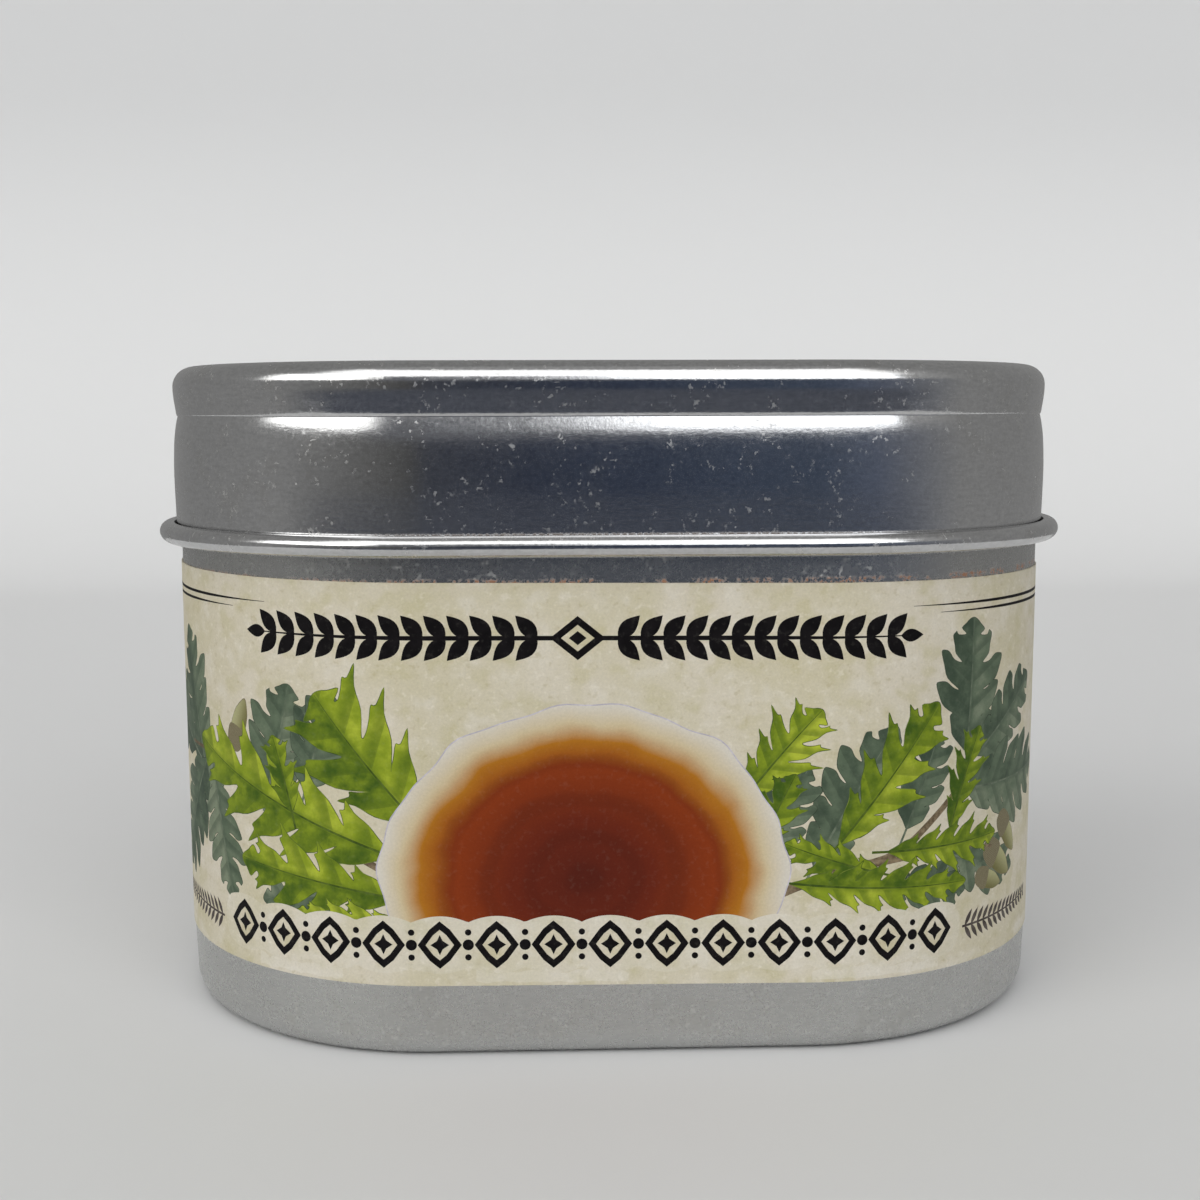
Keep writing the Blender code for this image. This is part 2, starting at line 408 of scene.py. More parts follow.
# --------------------------------------------------------------------------
# Tinplate
# --------------------------------------------------------------------------
def tinplate(name, base, rough, s_total, dirt_v=None, dirt_amount=0.0,
             rust_v=None, aniso=0.25, grain=0.34):
    mat, net, bsdf = material(name)
    u, v, _ = net.xyz(net.uv("sheet"))            # 100 mm = 1
    s = net.mul(u, 100.0)
    w = net.mul(v, 100.0)
    ang = net.mul(s, 2 * math.pi / s_total)       # wraps without a seam
    rad = s_total / (2 * math.pi)
    cx = net.mul(net.math("COSINE", ang), rad)
    cy = net.mul(net.math("SINE", ang), rad)
    iso = net.vec(cx, cy, w)
    # rolled sheet: short level ripples, a pebbled skin, slow cloudiness
    rolled = net.noise(net.vec(net.mul(cx, 0.42), net.mul(cy, 0.42), net.mul(w, 1.7)), 2.3, 2.0, 0.6)
    peel = net.noise(iso, 3.0, 2.0, 0.65)
    blot = net.noise(iso, 0.30, 3.0, 0.62)
    slow = net.noise(iso, 0.08, 1.0, 0.5)
    # small smudges, nicks and a few short level scratches
    smudge = net.mul(net.step(net.noise(iso, 1.5, 2.0, 0.72), 0.57, 0.70),
                     net.step(blot, 0.48, 0.60))
    nick = net.mul(net.step(net.voronoi(iso, 0.38), 0.025, 0.055, 1.0, 0.0),
                   net.step(slow, 0.46, 0.54))
    sx = net.noise(net.vec(net.mul(cx, 0.45), net.mul(cy, 0.45), net.mul(w, 3.4)), 1.0, 1.0, 0.5)
    scratch = net.mul(net.step(sx, 0.735, 0.76), net.step(blot, 0.54, 0.62))
    marks = net.math("MAXIMUM", nick, net.mul(scratch, 0.6))

    tone = net.add(net.mul(net.sub(rolled, 0.5), grain), net.mul(net.sub(peel, 0.5), grain))
    tone = net.add(net.add(tone, net.mul(net.sub(slow, 0.5), 0.16)), 1.0)
    col = net.mix(1.0, tuple(base), net.vec(tone, tone, tone), "MULTIPLY")
    col = net.mix(net.mul(net.step(blot, 0.50, 0.72), 0.16), col,
                  (base[0] * 0.72, base[1] * 0.68, base[2] * 0.62))
    col = net.mix(net.mul(smudge, 0.30), col, (0.80, 0.79, 0.76))
    col = net.mix(net.mul(marks, 0.45), col, (0.84, 0.83, 0.80))
    r = net.add(net.mul(net.sub(blot, 0.5), 0.10), rough)
    r = net.add(r, net.mul(net.sub(peel, 0.5), 0.10))
    r = net.add(r, net.mul(smudge, 0.22))
    r = net.add(r, net.mul(marks, 0.30))
    metal = None
    if dirt_v is not None:
        near = net.band(w, dirt_v, 0.05, 0.30)
        # only towards the two ends of the oval
        ends = net.step(net.math("ABSOLUTE", cx), rad * 0.72, rad * 0.97, 0.0, 1.0)
        dirt = net.mul(net.mul(near, net.mul(ends, net.step(peel, 0.36, 0.56))), dirt_amount)
        col = net.mix(dirt, col, srgb(96, 72, 52))
        r = net.add(r, net.mul(dirt, 0.4))
        metal = net.sub(1.0, net.mul(dirt, 0.8))
    if rust_v is not None:                        # a rusty line along the paper's edge
        near = net.step(net.math("ABSOLUTE", net.sub(w, rust_v)), 0.10, 0.42, 1.0, 0.0)
        rust = net.mul(near, net.mul(net.step(peel, 0.46, 0.58), net.step(blot, 0.44, 0.54)))
        col = net.mix(net.mul(rust, 0.85), col, srgb(150, 92, 44))
        r = net.add(r, net.mul(rust, 0.35))
        metal = net.sub(1.0, net.mul(rust, 0.9))
    net.put(bsdf.inputs["Base Color"], col)
    if metal is None:
        bsdf.inputs["Metallic"].default_value = 1.0
    else:
        net.put(bsdf.inputs["Metallic"], metal)
    net.put(bsdf.inputs["Roughness"], net.math("MAXIMUM", r, 0.08))
    bsdf.inputs["Anisotropic"].default_value = aniso
    skin = net.add(net.mul(rolled, 0.45), net.mul(peel, 0.55))
    net.put(bsdf.inputs["Normal"], net.bump(skin, 0.0000075))
    return mat


perimeter = 4 * HALF + 2 * math.pi * END_R


def path_v(path, z, lo=0):
    """Distance along a section path where its outer wall passes height z."""
    p = np.array(path)
    v = np.concatenate([[0], np.cumsum(np.linalg.norm(np.diff(p, axis=0), axis=1))])
    for k in range(lo, len(p) - 1):
        if (p[k, 1] - z) * (p[k + 1, 1] - z) <= 0 and p[k, 0] > -4 and p[k, 1] != p[k + 1, 1]:
            f = (z - p[k, 1]) / (p[k + 1, 1] - p[k, 1])
            return float(v[k] + f * (v[k + 1] - v[k]))
    return 0.0


k_top = next(i for i, q in enumerate(lid_outer) if q[1] < LID_TOP - 1.9 and q[0] > -2)
lid_mat = tinplate("tinplate_lid", (0.60, 0.60, 0.605), 0.150, perimeter,
                   dirt_v=path_v(lid_path, LID_BOTTOM + 1.9, k_top), dirt_amount=0.75)
body_mat = tinplate("tinplate_body", (0.50, 0.50, 0.49), 0.27, perimeter, grain=0.18,
                    rust_v=path_v(body_path, 44.36, 30), aniso=0.2)
for piece, mat in ((lid, lid_mat), (body, body_mat)):
    piece.data.materials.clear()
    piece.data.materials.append(mat)

# --------------------------------------------------------------------------
# The label: a strip of paper whose print is cut into its mesh
# --------------------------------------------------------------------------
LAB_R = END_R - LABEL_OUT
L_BOT = (label_lo[2] + label_hi[2]) / 2 - 37.2 / 2
L_TOP = L_BOT + 37.2
S_END = 2 * HALF + math.pi * LAB_R - GAP / 2


def outline(s, r):
    """Unrolled arc length (measured on the printed face) to plan x, y and the
    outward direction, for a face at end radius r."""
    s = np.asarray(s, float)
    a = np.abs(s)
    sg = np.where(s < 0, -1.0, 1.0)
    turn = math.pi * LAB_R
    th = np.clip((a - HALF) / LAB_R, 0, math.pi)
    back = a > HALF + turn
    x = np.where(a <= HALF, a, HALF + r * np.sin(th))
    x = np.where(back, 2 * HALF + turn - a, x)
    y = -r * np.cos(th)
    nx = np.where((a > HALF) & ~back, np.sin(th), 0.0)
    ny = -np.cos(th)
    return sg * x, y, sg * nx, ny


class Region:
    """A printed shape: its outline in label millimetres, its ink, and two
    functions that give the ink's own coordinates at a point."""

    def __init__(self, poly, ink, fa=None, fb=None):
        self.poly = np.asarray(poly, float)
        self.ink = ink
        self.fa = fa or (lambda p: p / 100.0)
        self.fb = fb or (lambda p: p * 0.0)


regions = []


def spline(points, per=5, closed=True):
    p = np.asarray(points, float)
    n = len(p)
    out = []
    last = n if closed else n - 1
    for i in range(last):
        p0 = p[(i - 1) % n] if closed or i else 2 * p[0] - p[1]
        p1, p2 = p[i], p[(i + 1) % n]
        p3 = p[(i + 2) % n] if closed or i + 2 < n else 2 * p2 - p1
        for k in range(per):
            t = k / per
            out.append(0.5 * (2 * p1 + (p2 - p0) * t + (2 * p0 - 5 * p1 + 4 * p2 - p3) * t * t
                              + (3 * p1 - p0 - 3 * p2 + p3) * t ** 3))
    if not closed:
        out.append(p[-1])
    return np.array(out)


def strip(points, widths):
    """A tapered ribbon along a line of points."""
    p = np.asarray(points, float)
    w = np.interp(np.linspace(0, 1, len(p)), np.linspace(0, 1, len(widths)), widths)
    d = np.gradient(p, axis=0)
    d /= np.linalg.norm(d, axis=1)[:, None]
    n = np.stack([-d[:, 1], d[:, 0]], 1)
    return np.vstack([p + n * w[:, None] / 2, (p - n * w[:, None] / 2)[::-1]])


def inset(poly, d):
    """Move a closed outline inwards by d, with limited mitres."""
    p = np.asarray(poly, float)
    area = 0.5 * np.sum(p[:, 0] * np.roll(p[:, 1], -1) - np.roll(p[:, 0], -1) * p[:, 1])
    if area < 0:
        p = p[::-1]
    e = np.roll(p, -1, 0) - p
    e /= np.maximum(np.linalg.norm(e, axis=1), 1e-9)[:, None]
    n = np.stack([-e[:, 1], e[:, 0]], 1)
    m = n + np.roll(n, 1, 0)
    k = np.maximum((m * n).sum(1), 0.6)
    return p + m / k[:, None] * d


def leaf(base, angle, length, width, lobes, seed, kind, bend=0.0, deep=0.55,
         tooth=0.5, stalk=1.6, lit=1):
    """A lobed leaf. Its own frame runs from the base (u = 0) to the tip."""
    rng = np.random.default_rng(seed)
    right = []
    left = []
    for side in (right, left):
        for i in range(lobes):
            a = length * (0.06 + 0.80 * i / lobes)
            b = length * (0.06 + 0.80 * (i + 1) / lobes)
            t = (i + 0.5) / lobes
            env = width * (math.sin(math.pi * (0.13 + 0.78 * t) ** 1.12)) ** 0.8
            env *= rng.uniform(0.86, 1.14)
            core = width * (1 - deep) * (0.35 + 0.65 * math.sin(math.pi * (0.1 + 0.72 * t)))
            lean = env * rng.uniform(0.40, 0.60)
            m = (a + b) / 2
            h = b - a
            if tooth > 0.6:                       # pointed lobes, deep narrow bays
                core *= 0.82
                side += [(a + 0.02 * h, core * 0.80),
                         (a + 0.32 * h + lean * 0.28, core + (env - core) * 0.42),
                         (m + 0.04 * h + lean * 0.74, env * 0.82),
                         (m + 0.20 * h + lean * 1.12, env * 1.10),
                         (m + 0.27 * h + lean * 0.80, env * 0.80),
                         (m + 0.40 * h + lean * 0.72, env * 0.72),
                         (m + 0.42 * h + lean * 0.42, core + (env - core) * 0.30),
                         (b - 0.06 * h + lean * 0.15, core + (env - core) * 0.02)]
            else:                                 # rounded lobes
                side += [(a + 0.04 * h, core * 0.80),
                         (a + 0.24 * h + lean * 0.20, core + (env - core) * 0.58),
                         (m - 0.16 * h + lean * 0.62, env * 0.94),
                         (m + 0.08 * h + lean * 0.88, env * 1.03),
                         (m + 0.28 * h + lean * 0.74, env * 0.92),
                         (m + 0.44 * h + lean * 0.50, core + (env - core) * 0.50),
                         (b - 0.04 * h + lean * 0.18, core + (env - core) * 0.12)]
        e = width * 0.42
        side += [(length * 0.875, e * 0.55), (length * 0.915, e * (0.80 + 0.2 * tooth)),
                 (length * 0.955, e * 0.55), (length * 0.985, e * 0.30)]
    pts = [(0.0, width * 0.035)] + right + [(length, 0.0)]
    pts += [(x, -y) for x, y in reversed(left)] + [(0.0, -width * 0.035)]
    local = spline(pts, 3)
    local[:, 0] = np.maximum(local[:, 0], 0)
    ca, sa = math.cos(math.radians(angle)), math.sin(math.radians(angle))
    rot = np.array([[ca, -sa], [sa, ca]])
    base = np.asarray(base, float)

    def place(q):
        q = np.asarray(q, float)
        b = np.stack([q[:, 0], q[:, 1] + bend * (q[:, 0] / length) ** 2 * length], 1)
        return b @ rot.T + base

    def back(p):
        q = (p - base) @ rot
        q = q.copy()
        q[:, 1] -= bend * (np.clip(q[:, 0], 0, None) / length) ** 2 * length
        return q

    fr = rng.uniform(0, 1)

    def fa(p):                                  # along 0..1, across in 10 mm
        q = back(p)
        return np.stack([q[:, 0] / length, q[:, 1] * lit / 10.0], 1)

    def fb(p):                                  # side vein phase, leaf's number
        q = back(p)
        ph = (q[:, 0] - 0.62 * np.abs(q[:, 1])) / (0.80 * length / lobes) - 0.06
        return np.stack([ph / 10.0, np.full(len(q), fr)], 1)

    outer = place(local)
    regions.append(Region(outer, kind + "_edge", fa, fb))
    regions.append(Region(inset(outer, 0.07 if kind == "leaf" else 0.06), kind, fa, fb))
    # the midrib splits the leaf, and carries on as its stalk
    mid = place(np.stack([np.linspace(-stalk, length * 0.985, 24), np.zeros(24)], 1))
    regions.append(Region(strip(mid, [0.24, 0.22, 0.18, 0.13, 0.09, 0.04]), kind + "_rib", fa, fb))


def blob(cx, cy, rx, ry, ink, n=28, rot=0.0, fa=None, fb=None, wob=0.0, seed=0):
    rng = np.random.default_rng(seed)
    t = np.linspace(0, 2 * math.pi, n, endpoint=False)
    ph = rng.uniform(0, 6.28, 3)
    k = 1 + wob * (np.sin(2 * t + ph[0]) + 0.6 * np.sin(3 * t + ph[1]) + 0.5 * np.sin(5 * t + ph[2]))
    x, y = rx * np.cos(t) * k, ry * np.sin(t) * k
    c, s = math.cos(math.radians(rot)), math.sin(math.radians(rot))
    regions.append(Region(np.stack([cx + x * c - y * s, cy + x * s + y * c], 1), ink, fa, fb))


def acorn(cx, cy, size, rot):
    c, s = math.cos(math.radians(rot)), math.sin(math.radians(rot))

    def put(pts):
        p = np.asarray(pts, float) * size
        return np.stack([cx + p[:, 0] * c - p[:, 1] * s, cy + p[:, 0] * s + p[:, 1] * c], 1)

    def fa(p):
        q = (p - np.array([cx, cy])) @ np.array([[c, -s], [s, c]]) / size
        return q * 0.1 + 0.5

    nut = spline([(-0.5, 0.40), (0.1, 0.50), (0.9, 0.44), (1.45, 0.20), (1.66, 0.0),
                  (1.45, -0.20), (0.9, -0.44), (0.1, -0.50), (-0.5, -0.40)], 4)
    cup = spline([(-0.95, 0.10), (-0.80, 0.42), (-0.35, 0.60), (0.16, 0.57), (0.26, 0.0),
                  (0.16, -0.57), (-0.35, -0.60), (-0.80, -0.42), (-0.95, -0.10)], 4)
    regions.append(Region(put(nut * 1.04 - np.array([0.02, 0])), "twig", fa))
    regions.append(Region(put(nut), "acorn", fa))
    regions.append(Region(put(cup), "acorn_cup", fa))


# ---- the print, back to front; positions are (arc length, height) ----------
def sloped(pts):
    p = np.asarray(pts, float).copy()
    p[:, 1] += SLOPE * p[:, 0]
    return p


# worn paler patches along the foot of the strip
rng = np.random.default_rng(41)
for a, b in ((-35.5, -26.0), (-13.5, 0.5), (17.5, 30.5), (-62, -50), (44, 55),
             (70, 80), (-96, -84), (98, 110)):
    n = 16
    xs = np.linspace(a, b, n)
    top = 8.35 + rng.uniform(-0.28, 0.30, n)
    low = 7.35 + rng.uniform(-0.10, 0.14, n)
    regions.append(Region(sloped(np.vstack([np.stack([xs, top], 1),
                                            np.stack([xs[::-1], low], 1)])), "paper_pale"))

# double rules that start beside the heading and run round the tin
for z0, x0 in ((42.05, -33.6), (41.35, -38.0)):
    xs = np.linspace(-118.5, x0, 60)
    regions.append(Region(sloped(strip(np.stack([xs, np.full(60, z0)], 1),
                                       [0.30] * 9 + [0.26, 0.04])), "ink"))
for z0, x0 in ((41.95, 26.8), (41.25, 29.8)):
    xs = np.linspace(118.5, x0, 60)
    regions.append(Region(sloped(strip(np.stack([xs, np.full(60, z0)], 1),
                                       [0.30] * 9 + [0.26, 0.04])), "ink"))

# dark leaves at the back of the two sprays
leaf((33.6, 27.5), 84, 12.8, 4.6, 4, 11, "dark", 0.06, 0.50, 0.35)
leaf((35.0, 27.0), 33, 13.0, 3.6, 4, 12, "dark", -0.05, 0.52, 0.4)
leaf((33.5, 24.0), -3, 16.5, 4.4, 5, 13, "dark", 0.05, 0.52, 0.4)
leaf((30.0, 18.5), -20, 13.0, 3.0, 4, 14, "dark", 0.05, 0.55, 0.4)
leaf((17.5, 18.0), 62, 15.0, 3.7, 5, 15, "dark", -0.06, 0.52, 0.4)
leaf((26.5, 21.0), 66, 9.5, 3.0, 4, 16, "dark", 0.05, 0.52, 0.4)
leaf((12.0, 17.5), 66, 11.0, 3.0, 4, 17, "dark", -0.05, 0.5, 0.4)
leaf((24.0, 15.8), -6, 10.0, 2.4, 4, 18, "dark", -0.05, 0.5, 0.4)
leaf((59.5, 12.0), 80, 17.0, 4.4, 5, 19, "dark", 0.08, 0.52, 0.4)
leaf((57.0, 24.5), 196, 4.0, 1.8, 3, 20, "dark", 0.0, 0.5, 0.4)
leaf((61.0, 22.0), 28, 15.0, 4.2, 5, 21, "dark", -0.06, 0.52, 0.4)
leaf((60.0, 15.0), -4, 13.0, 3.0, 4, 22, "dark", 0.06, 0.52, 0.4)

leaf((-34.0, 24.0), 72, 11.2, 4.0, 4, 31, "dark", 0.05, 0.48, 0.35)
leaf((-29.5, 25.0), 74, 9.6, 3.2, 4, 32, "dark", -0.05, 0.5, 0.35)
leaf((-44.0, 24.0), 112, 15.5, 4.2, 5, 33, "dark", -0.06, 0.52, 0.4)
leaf((-42.6, 27.0), -80, 14.6, 3.1, 5, 34, "dark", 0.06, 0.52, 0.4)
leaf((-44.0, 26.0), -128, 15.0, 4.2, 5, 35, "dark", 0.06, 0.52, 0.4)
leaf((-47.0, 26.5), 156, 15.0, 4.2, 5, 36, "dark", -0.06, 0.52, 0.4)
leaf((-26.0, 15.5), 186, 9.0, 2.6, 4, 37, "dark", 0.06, 0.52, 0.4)
leaf((-57.0, 22.0), 118, 15.0, 4.0, 5, 38, "dark", 0.06, 0.52, 0.4)
leaf((-58.0, 18.0), 178, 15.0, 3.6, 5, 39, "dark", 0.06, 0.52, 0.4)

# acorns
acorn(38.6, 16.6, 2.3, -38)
acorn(40.6, 19.0, 2.1, -52)
acorn(37.0, 14.6, 1.8, -20)
acorn(61.5, 12.4, 2.1, 70)
acorn(-38.0, 29.6, 2.1, 68)
acorn(-60.5, 13.2, 2.1, 110)

# twigs
regions.append(Region(strip(spline([(12.0, 14.5), (19, 17.2), (25.0, 18.6), (29.0, 21.2),
                                    (33.6, 25.5), (34.0, 29.0)], 6, False),
                            [0.9, 0.8, 0.7, 0.6, 0.4]), "twig"))
regions.append(Region(strip(spline([(20.5, 17.6), (26.0, 18.2), (32.0, 18.6), (38.0, 17.6)],
                                   6, False), [0.6, 0.5, 0.4, 0.3]), "twig"))
regions.append(Region(strip(spline([(-20.0, 17.0), (-26, 20.0), (-34.0, 23.2), (-41.0, 26.6),
                                    (-48.0, 27.2)], 6, False), [0.7, 0.6, 0.5, 0.3]), "twig"))

# bright leaves in front
leaf((11.2, 24.6), 52, 10.6, 3.3, 4, 51, "leaf", -0.05, 0.55, 0.9)
leaf((19.8, 20.0), 49, 16.2, 3.8, 4, 52, "leaf", 0.04, 0.58, 0.9)
leaf((31.6, 20.4), 71, 10.2, 2.7, 4, 53, "leaf", -0.06, 0.58, 0.9)
leaf((24.6, 19.0), -2, 14.0, 2.6, 5, 54, "leaf", 0.03, 0.56, 0.9)
leaf((24.0, 17.0), 164, 9.8, 2.2, 4, 55, "leaf", -0.05, 0.5, 0.8)
leaf((12.4, 19.4), 68, 8.0, 2.3, 3, 56, "leaf", -0.05, 0.5, 0.8)
leaf((15.4, 16.4), -6, 18.6, 2.7, 6, 57, "leaf", 0.03, 0.56, 0.9)

leaf((-18.8, 22.6), 132, 15.0, 6.0, 3, 61, "leaf", -0.04, 0.60, 0.9)
leaf((-20.6, 19.2), 161, 26.2, 5.4, 5, 63, "leaf", -0.02, 0.62, 1.0)
leaf((-31.0, 22.8), 104, 7.4, 2.1, 3, 64, "leaf", 0.05, 0.55, 0.9)
leaf((-20.5, 15.4), 171, 17.4, 3.9, 4, 65, "leaf", 0.03, 0.56, 0.9)
leaf((-20.0, 13.0), 178, 11.0, 1.9, 4, 66, "leaf", 0.0, 0.5, 0.8)

# ---- the banded cap ----------------------------------------------------------
CAP_C = (-3.6, 17.0)


def cap_outline(grow=0.0, wob=0.22):
    t = np.linspace(0, 2 * math.pi, 150, endpoint=False)
    k = 1 + wob / 18.7 * (np.sin(9 * t + 0.4) + 0.7 * np.sin(14 * t + 2.0) + 0.5 * np.sin(23 * t))
    x = (18.65 + grow) * np.cos(t) * k
    z = (16.2 + grow) * np.sin(t) * k
    x = x * np.where(z < 0, 1 - 0.020 * (np.abs(z) / 4) ** 2, 1)
    out = np.stack([CAP_C[0] + x + 0.5 * np.sin(t) ** 2, CAP_C[1] + z], 1)
    out[:, 1] = np.maximum(out[:, 1], 11.3)      # the foot ornament covers the rest
    return out


def cap_fa(p):
    return (p - np.array(CAP_C)) / 100.0


regions.append(Region(cap_outline(0.10), "cap_edge", cap_fa))
regions.append(Region(cap_outline(-0.02), "cap", cap_fa))

# ---- ornament where a heading would be: a garland of small black leaves ------
def simple_leaf(x, z, a, length, width, ink="ink"):
    t = np.linspace(0, 1, 9)
    w = width * np.sin(math.pi * t ** 0.85) * 0.5
    up = np.stack([t * length, w], 1)
    dn = np.stack([t[::-1] * length, -w[::-1]], 1)
    p = np.vstack([up, dn[1:-1]])
    c, s = math.cos(math.radians(a)), math.sin(math.radians(a))
    regions.append(Region(sloped(np.stack([x + p[:, 0] * c - p[:, 1] * s,
                                           z + p[:, 0] * s + p[:, 1] * c], 1)), ink))


mid_x, mid_z = -4.05, 39.3
half_len = 30.0


def garland(cz, k_z, ink, core):
    xs = np.linspace(mid_x - half_len, mid_x + half_len, 60)
    regions.append(Region(sloped(strip(np.stack([xs, np.full(60, cz)], 1),
                                       [0.10, 0.42, 0.42, 0.42, 0.10])), ink))
    for side in (-1, 1):
        for k in range(13):
            x = mid_x + side * (3.6 + 2.05 * k)
            for up in (-1, 1):
                a = up * 46 * k_z
                simple_leaf(x, cz, a if side > 0 else 180 - a, 2.85, 1.42 * k_z, ink)
        simple_leaf(mid_x + side * half_len * 0.985, cz, 0 if side > 0 else 180, 2.4, 1.2 * k_z, ink)
    t = np.linspace(0, 2 * math.pi, 5)[:-1]
    for r, rz, i in ((2.5, 2.0, ink), (1.5, 1.2, core), (0.8, 0.64, ink)):
        regions.append(Region(sloped(np.stack([mid_x + r * np.cos(t), cz + k_z * rz * np.sin(t)], 1)), i))


garland(mid_z, 1.0, "ink", "paper")

# ---- ornament at the foot: bold lozenges and beads on a pale halo -----------
foot_a, foot_b, foot_z = -40.2, 32.6, 10.95
pitch = 5.2
count = int(round((foot_b - foot_a) / pitch))
pitch = (foot_b - foot_a) / count
beads = [foot_a + pitch * (k + 0.5) for k in range(count)]
xs = np.linspace(foot_a - 0.7, foot_b + 0.7, 281)
scallop = 2.10 + 0.62 * np.abs(np.cos(math.pi * (xs - beads[0]) / pitch)) ** 0.8
end = np.clip((np.minimum(xs - xs[0], xs[-1] - xs)) / 0.9, 0, 1) ** 0.5
regions.append(Region(sloped(np.vstack([np.stack([xs, foot_z + scallop * end], 1),
                                        np.stack([xs[::-1], (foot_z - scallop * end)[::-1]], 1)[1:-1]])),
                      "halo"))
for k, x in enumerate(beads):
    for r, rz, ink in ((2.02, 2.25, "ink"), (1.30, 1.45, "paper"), (0.86, 0.96, "ink")):
        q = np.array([(x + r, foot_z), (x + 0.30 * r, foot_z + 0.42 * rz), (x, foot_z + rz),
                      (x - 0.30 * r, foot_z + 0.42 * rz), (x - r, foot_z),
                      (x - 0.30 * r, foot_z - 0.42 * rz), (x, foot_z - rz),
                      (x + 0.30 * r, foot_z - 0.42 * rz)])
        if ink != "ink" or r > 1:
            q[[1, 3, 5, 7]] = (q[[1, 3, 5, 7]] - [x, foot_z]) * 1.55 + [x, foot_z]
        regions.append(Region(sloped(q), ink))
for x in [b + pitch / 2 for b in beads[:-1]]:
    for dz, r in ((0.0, 0.52), (1.18, 0.30), (-1.18, 0.30)):
        tt = np.linspace(0, 2 * math.pi, 17)[:-1]
        regions.append(Region(sloped(np.stack([x + r * np.cos(tt), foot_z + dz + r * np.sin(tt)], 1)), "ink"))


# small sprigs at both ends of the foot ornament
def sprig(x0, x1, z, rise):
    n = 15
    xs = np.linspace(x0, x1, 24)
    zs = z + rise * ((xs - x0) / (x1 - x0)) ** 1.5
    regions.append(Region(sloped(strip(np.stack([xs, zs], 1), [0.24, 0.2, 0.12])), "sprig"))
    d = 1 if x1 > x0 else -1
    for k in range(n):
        f = (k + 0.4) / n
        x = x0 + (x1 - x0) * f
        zz = z + rise * f ** 1.5
        ln = 1.9 * (1 - 0.45 * f)
        for up in (-1, 1):
            a = up * (56 - 14 * f)
            simple_leaf(x, zz, a if d > 0 else 180 - a, ln, 0.52, "sprig")


sprig(33.6, 47.5, 10.7, 0.4)
sprig(-41.2, -55.0, 10.7, 0.4)
# plain sprigs and a quiet frame on the back of the tin
sprig(76.0, 64.0, 36.5, 0.0)
sprig(-76.0, -64.0, 36.5, 0.0)
for s0, s1 in ((80.0, 117.0), (-117.0, -80.0)):
    for d in (0.0, 0.8):
        a, b, lo, hi = s0 + d, s1 - d, 10.5 + d, 38.5 - d
        w = 0.22 if d == 0 else 0.12
        for p0, p1 in (((a, lo), (b, lo)), ((a, hi), (b, hi)), ((a, lo), (a, hi)), ((b, lo), (b, hi))):
            n = 30
            pp = np.stack([np.linspace(p0[0], p1[0], n), np.linspace(p0[1], p1[1], n)], 1)
            regions.append(Region(sloped(strip(pp, [w, w])), "ink"))
    simple_leaf((s0 + s1) / 2, 24.5, 90, 5.0, 1.7, "sprig")
    simple_leaf((s0 + s1) / 2, 24.5, 35, 4.2, 1.4, "sprig")
    simple_leaf((s0 + s1) / 2, 24.5, 145, 4.2, 1.4, "sprig")
    simple_leaf((s0 + s1) / 2, 24.5, -90, 3.0, 0.5, "sprig")


